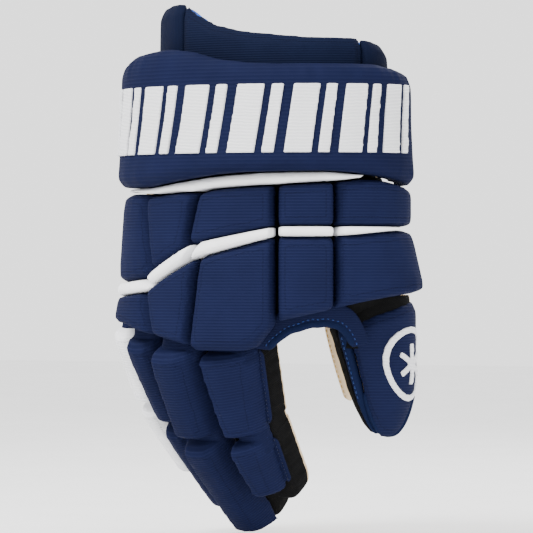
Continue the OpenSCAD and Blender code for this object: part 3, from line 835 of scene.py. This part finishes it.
def stitches(name, path, normals, material, pitch=3.2 * MM, share=0.62, radius=0.42 * MM):
    """A row of sewn stitches, each a short thread with both ends sunk into the cloth."""
    path = np.asarray(path, float)
    length = np.concatenate([[0], np.cumsum(np.linalg.norm(np.diff(path, axis=0), axis=1))])

    def at(spot, values):
        return np.array([np.interp(spot, length, values[:, k]) for k in range(3)])

    points, faces, n = [], [], 6
    turn = np.linspace(0, TAU, n, endpoint=False)
    for first in np.arange(0.3 * pitch, length[-1] - share * pitch, pitch):
        begin = len(points)
        for u in np.linspace(0, 1, 6):
            spot = first + u * share * pitch
            ahead = unit(at(spot + 0.2 * MM, path) - at(spot - 0.2 * MM, path))
            up = unit(at(spot, normals))
            side = np.cross(ahead, up)
            bow = math.sin(u * math.pi)
            middle = at(spot, path) + up * radius * (1.5 * bow - 0.9)
            size = radius * (0.55 + 0.45 * bow)
            points.extend(middle + size * (math.cos(a) * side + math.sin(a) * up) for a in turn)
        rings = tube_faces(6, n) + [tuple(range(n))[::-1], tuple(5 * n + i for i in range(n))]
        faces.extend(tuple(begin + v for v in face) for face in rings)
    obj = build(name, points, faces, material)
    set_cloth(obj, PALM)
    return obj


def on_surface(path, tree, direction, reach=0.12):
    """The path dropped onto a surface along a direction, with its normals. Points that miss are left out."""
    found, normals = [], []
    way = Vector(direction).normalized()
    for p in path:
        spot, normal, _, _ = tree.ray_cast(Vector(p) - way * reach, way, 2 * reach)
        if spot is not None:
            found.append(spot)
            normals.append(normal if normal.dot(way) < 0 else -normal)
    return np.array(found), np.array(normals)


def arch():
    """The centreline of the crotch binding, as across and height, from its left foot to its right foot."""
    points = coords(NODES["crotch_binding"])
    across, z = HAND.cloth(points)
    middle, low = (across.min() + across.max()) / 2, z.min()
    polar = np.arctan2(z - low, middle - across)
    spots = np.linspace(0.06, math.pi - 0.06, 26)
    near = [np.abs(polar - spot) < 0.12 for spot in spots]
    line = np.array([[across[k].mean(), z[k].mean()] for k in near if k.any()])
    padded = np.vstack([line[:1], line, line[-1:]])
    return (padded[:-2] + 2 * padded[1:-1] + padded[2:]) / 4, np.array([middle, low])


def crotch():
    """The web between the pads and the crotch, its rolled binding and the blue stitches along it."""
    line, centre = arch()
    away = unit(line - centre)
    inset, rows = 20.5 * MM, 9
    grid = []
    for v in np.linspace(-0.1, 1, rows):
        spot = line + away * v * 15 * MM
        grid.append(HAND.point(spot[:, 0], spot[:, 1], inset - 3.0 * MM * max(0, v)))
    points = np.vstack(grid)
    web = build("crotch_web", points, grid_faces(rows, len(line)), NAVY_FINE)
    modify(web, "SOLIDIFY", thickness=1.4 * MM, offset=0)
    bake(web)
    finer(web)
    set_cloth(web, HAND)
    rim = HAND.point(line[:, 0], line[:, 1], inset)
    normals = HAND.outward(rim)
    even = resampled(rim, 2 * MM)
    roll_tape = tape("crotch_roll", even, HAND.outward(even), 5.2 * MM, 3.4 * MM, BINDING, HAND)
    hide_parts("crotch_binding")
    sewn = line + away * 3.0 * MM
    path = HAND.point(sewn[:, 0], sewn[:, 1], inset - 1.3 * MM)
    thread = stitches("crotch_stitches", path, normals, STITCH_BLUE)
    for obj in (web, roll_tape, thread):
        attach(obj, "hand")


crotch()


def thumb_edge_stitches():
    """Blue stitches down the binding along the thumb pad's inner edge."""
    tree = surface_of(thumb_tape)
    zs = np.linspace(-0.170, -0.225, 24)
    tube = coords(thumb_tape)
    across, _ = THUMB.cloth(tube)
    path = []
    for z in zs:
        level = np.abs(tube[:, 2] - z) < 6 * MM
        turn = np.quantile(across[level], 0.72) / (22 * MM)
        path.append([*(THUMB.centre(z) + 0.05 * np.array([math.sin(turn), -math.cos(turn)])), z])
    found, normals = [], []
    for p in path:
        spot, normal, _, _ = tree.find_nearest(Vector(p))
        found.append(spot)
        normals.append(normal)
    thread = stitches("thumb_edge_stitches", found, np.array(normals), STITCH_BLUE, 3.4 * MM)
    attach(thread, "thumb")


thumb_edge_stitches()


def thumb_lip():
    """The turned edge of the thumb leather, seen inside the crotch, with its row of stitches."""
    tube = coords(thumb_mesh)
    zs = np.linspace(-0.162, -0.212, 30)
    right = np.array([math.cos(AZIMUTH), math.sin(AZIMUTH), 0])
    levels = [tube[np.abs(tube[:, 2] - z) < 4 * MM] for z in zs]
    inner = np.array([level[(level @ right).argmin()] for level in levels])
    fits = [np.polyval(np.polyfit(zs, inner[:, k], 2), zs) for k in (0, 1)]
    path = np.stack([fits[0] - 0.6 * MM, fits[1] + 2.0 * MM, zs], 1)
    normals = np.tile(unit(np.array([-0.35, -0.9, 0.0])), (len(path), 1))
    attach(tape("thumb_lip", path, normals, 9.5 * MM, 2.6 * MM, TAN, THUMB), "thumb")
    row = path + normals * 1.5 * MM - right * 1.5 * MM
    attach(stitches("thumb_lip_stitches", row, normals, STITCH_YELLOW, 3.4 * MM), "thumb")


thumb_lip()


def thumb_rim():
    """The rolled binding round the free end of the thumb pad."""
    points = coords(thumb_pad)
    right = np.array([math.cos(AZIMUTH), math.sin(AZIMUTH), 0])
    flat = np.stack([points @ right, points[:, 2]], 1)
    middle = -0.195
    flat -= [(flat[:, 0].min() + flat[:, 0].max()) / 2, middle]
    polar, radius = np.arctan2(flat[:, 1], flat[:, 0]), np.linalg.norm(flat, axis=1)
    outline = []
    for turn in np.radians(np.linspace(-140, -25, 40)):
        near = np.flatnonzero(np.abs(polar - turn) < 0.06)
        outline.append(points[near[radius[near].argmax()]])
    path = np.array(outline)
    for _ in range(4):
        path[1:-1] = (path[:-2] + 2 * path[1:-1] + path[2:]) / 4
    path = resampled(path, 2 * MM)
    path += unit(np.array([*THUMB.centre(middle), middle]) - path) * 1.8 * MM
    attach(tape("thumb_rim", path, THUMB.outward(path), 5.0 * MM, 6.5 * MM, BINDING, THUMB), "thumb")


thumb_rim()


def palm_stitches():
    """Yellow stitches on the palm leather: one row above the finger roots and one down each side."""
    tree = surface_of(palm)
    low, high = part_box("palm_panel")
    wide, u = high.x - low.x, np.linspace(0, 1, 60)
    rows = {
        "palm_root": (low.x * 0.9 + wide * 0.82 * u, low.z + 0.018 + 0.003 * np.cos(u * TAU)),
        "palm_outer": (-0.078 - 0.006 * np.sin(u * math.pi), high.z - 0.022 - 0.062 * u),
        "palm_thumb": (0.044 + 0.010 * u**2, high.z - 0.022 - 0.060 * u),
    }
    for name, (x, z) in rows.items():
        path = np.stack([x, 0 * u, z], 1)
        found, normals = on_surface(path, tree, (0, -1, 0))
        if len(found) > 3:
            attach(stitches(f"{name}_stitches", found, normals, STITCH_YELLOW, 3.4 * MM), "hand")


palm_stitches()


def wrist_sleeve():
    """Stretch cloth between the hand and the wrist guard, lined, so that the wrist never opens."""
    hand_low, hand_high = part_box("hand_liner")
    guard_low, guard_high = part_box("wrist_guard_lining")
    guard_ends = 205, -38
    turn = np.radians(np.linspace(*guard_ends, 80))
    first, last, rows = hand_high.z - 20 * MM, guard_low.z + 14 * MM, 18
    for name, inset, material in (("wrist_sleeve", 0.0, BLACK), ("wrist_sleeve_lining", 1.5 * MM, BLUE)):
        grid = []
        for u in np.linspace(0, 1, rows):
            share = u * u * (3 - 2 * u)
            pleat = 0.5 * MM * math.sin(u * TAU * 4) + inset + 2.0 * MM
            a = (1 - share) * hand_high.x + share * (guard_high.x - guard_low.x) / 2 - pleat
            b = (1 - share) * -hand_low.y + share * -guard_low.y - pleat
            middle = share * (guard_high.x + guard_low.x) / 2
            z = np.full(len(turn), first + (last - first) * u)
            grid.append(np.stack([middle + a * np.cos(turn), -b * np.sin(turn), z], 1))
        obj = build(name, np.vstack(grid), grid_faces(rows, len(turn)), material)
        modify(obj, "SOLIDIFY", thickness=1.0 * MM, offset=0)
        bake(obj)
        finer(obj)
        set_cloth(obj, HAND)
        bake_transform(obj)


wrist_sleeve()


def palm_edging():
    """The bound edge of the palm leather at the wrist."""
    tree = surface_of(palm)
    outline = coords(palm)
    path = []
    for x in np.linspace(outline[:, 0].min() + 3 * MM, outline[:, 0].max() - 3 * MM, 70):
        column = outline[np.abs(outline[:, 0] - x) < 3 * MM]
        path.append([x, 0, column[:, 2].max() - 2.2 * MM])
    found, normals = on_surface(path, tree, (0, -1, 0))
    edging = tape("palm_edging", found, normals, 8.0 * MM, 3.4 * MM, BINDING, PALM)
    thread = stitches("palm_edging_stitches", found - [0, 0, 2.4 * MM], normals, STITCH_BLUE)
    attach(edging, "hand")
    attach(thread, "hand")


palm_edging()


def palm_patch():
    """A second layer of suede sewn on the middle of the palm."""
    tree = surface_of(palm)
    rings, n = 14, 72
    middle_x, middle_z, half_wide, half_high, tilt = -0.017, -0.113, 0.050, 0.024, 0.006
    turn = np.linspace(0, TAU, n, endpoint=False)
    cos, sin = (np.sign(f(turn)) * np.abs(f(turn)) ** 0.62 for f in (np.cos, np.sin))
    flat = np.vstack([
        np.stack([middle_x + half_wide * r * cos, 0 * turn, middle_z + half_high * r * sin - tilt * r * cos], 1)
        for r in np.linspace(1, 0.02, rings)
    ])
    found, normals = on_surface(flat, tree, (0, -1, 0))
    if len(found) < len(flat):
        return
    patch = build("palm_patch", found + normals * 0.9 * MM, tube_faces(rings, n, True), SUEDE_PATCH)
    modify(patch, "SOLIDIFY", thickness=1.3 * MM, offset=0)
    bake(patch)
    set_cloth(patch, PALM)
    row = slice(n, 2 * n)
    raised_row = found[row] + normals[row] * 1.5 * MM
    thread = stitches("palm_patch_stitches", raised_row, normals[row], STITCH_YELLOW)
    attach(patch, "hand")
    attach(thread, "hand")


palm_patch()


def thumb_bridge():
    """Leather that joins the palm to the front of the thumb."""
    palm_tree, thumb_tree = surface_of(palm), surface_of(thumb_leather, thumb_pad)
    outline, tube = coords(palm), coords(thumb_leather)
    level, n, rows = -0.160, 34, 12
    centre = THUMB.centre(level)
    ring = tube[np.abs(tube[:, 2] - level) < 4 * MM]
    lean = np.arctan2(ring[:, 0] - centre[0], ring[:, 1] - centre[1])
    top, low = [], []
    across = np.linspace(0.028, outline[:, 0].max() - MM, n)
    for x, angle in zip(across, np.linspace(lean.min(), lean.max(), n)):
        edge = outline[np.abs(outline[:, 0] - x) < 3 * MM][:, 2].min()
        spot, normal, _, _ = palm_tree.ray_cast(Vector((x, 0.12, edge + 7 * MM)), Vector((0, -1, 0)))
        out = Vector((math.sin(angle), math.cos(angle), 0))
        hit, _, _, _ = thumb_tree.ray_cast(Vector((*centre, level)) + out * 0.07, -out)
        if spot is None or hit is None:
            continue
        top.append(spot + normal * 0.5 * MM)
        low.append(hit + out * 0.5 * MM)
    side = Vector((HAND_A - 8 * MM, -8 * MM, top[-1].z - 3 * MM))
    corner = top[-1]
    for u in (0.25, 0.5):
        angle = lean.max() + 0.9 * u
        out = Vector((math.sin(angle), math.cos(angle), 0))
        hit, _, _, _ = thumb_tree.ray_cast(Vector((*centre, level)) + out * 0.07, -out)
        if hit is not None:
            top.append(corner.lerp(side, u))
            low.append(hit - out * 12 * MM * u)
    top, low = np.array(top), np.array(low)
    grid = []
    for v in np.linspace(0, 1, rows):
        gather = 0.6 * MM * np.sin(np.arange(len(top)) * 1.1) * math.sin(v * math.pi)
        bulge = np.array([0, 1, 0.2]) * (2.2 * MM * math.sin(v * math.pi) + gather)[:, None]
        grid.append(top * (1 - v) + low * v + bulge)
    obj = build("thumb_bridge", np.vstack(grid), grid_faces(rows, len(top)), TAN)
    modify(obj, "SOLIDIFY", thickness=1.3 * MM, offset=0)
    bake(obj)
    finer(obj)
    set_cloth(obj, PALM)
    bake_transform(obj)


thumb_bridge()


def index_flange(segment):
    """The flat sewn edge beside the index pads, with its needle stitches."""
    ys = np.linspace(-3 * MM, segment.pad_end + 4 * MM, 24)
    right = np.array([segment.sides(y)[1] for y in ys])
    own = np.stack([right + 0.6 * MM, ys, np.full(len(ys), segment.height + 0.8 * MM)], 1)
    path = segment.world(own)
    normals = np.tile(unit(segment.z + 0.5 * segment.x), (len(ys), 1))
    strip = tape(f"{segment.body}_flange", path, normals, 5.0 * MM, 1.4 * MM, NAVY_FINE, segment)
    row = segment.world(own + [0.6 * MM, 0, 0.9 * MM])
    thread = stitches(f"{segment.body}_flange_stitches", row, normals, STITCH_NAVY, 2.6 * MM, 0.5, 0.32 * MM)
    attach(strip, segment.body)
    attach(thread, segment.body)


for part in ("base", "tip"):
    index_flange(SEGMENTS["index", part])

# ---------------------------------------------------------------- camera, floor and lights
LENS = 250
VIEW_HEIGHT = 0.341
centre = Vector((0, 0, -0.126))
toward = Vector((math.sin(AZIMUTH), -math.cos(AZIMUTH), 0.0))
camera = bpy.data.objects.new("camera", bpy.data.cameras.new("camera"))
bpy.context.scene.collection.objects.link(camera)
camera.data.lens = LENS
camera.data.dof.use_dof = False
camera.location = centre + toward * VIEW_HEIGHT * LENS / 36
camera.rotation_euler = (centre - camera.location).to_track_quat("-Z", "Y").to_euler()
bpy.context.scene.camera = camera

floor_z = cad_box[0][2] - 4 * MM
paper = Shader("pale_floor")
paper.finish(paper.ramp(paper.noise(12.0), 0.3, 0.7, (0.90, 0.90, 0.90), (0.93, 0.93, 0.93)), 0.9)
corners = [(-4, -4, floor_z), (4, -4, floor_z), (4, 4, floor_z), (-4, 4, floor_z)]
build("floor", corners, [(0, 1, 2, 3)], paper.material)


def area_light(name, direction, reach, size, power):
    data = bpy.data.lights.new(name, "AREA")
    data.shape, data.size, data.energy = "DISK", size, power
    obj = bpy.data.objects.new(name, data)
    bpy.context.scene.collection.objects.link(obj)
    obj.location = centre + Vector(direction).normalized() * reach
    obj.rotation_euler = (centre - obj.location).to_track_quat("-Z", "Y").to_euler()


area_light("key", (-0.45, -0.9, 1.1), 1.3, 0.5, 24)
area_light("fill", (1.2, -0.7, 0.2), 1.3, 0.9, 5)
area_light("back", (0.2, 1.0, 0.8), 1.4, 0.8, 10)
world = bpy.data.worlds.new("studio")
world.use_nodes = True
world.node_tree.nodes["Background"].inputs[0].default_value = (1, 1, 1, 1)
world.node_tree.nodes["Background"].inputs[1].default_value = 2.0
bpy.context.scene.world = world
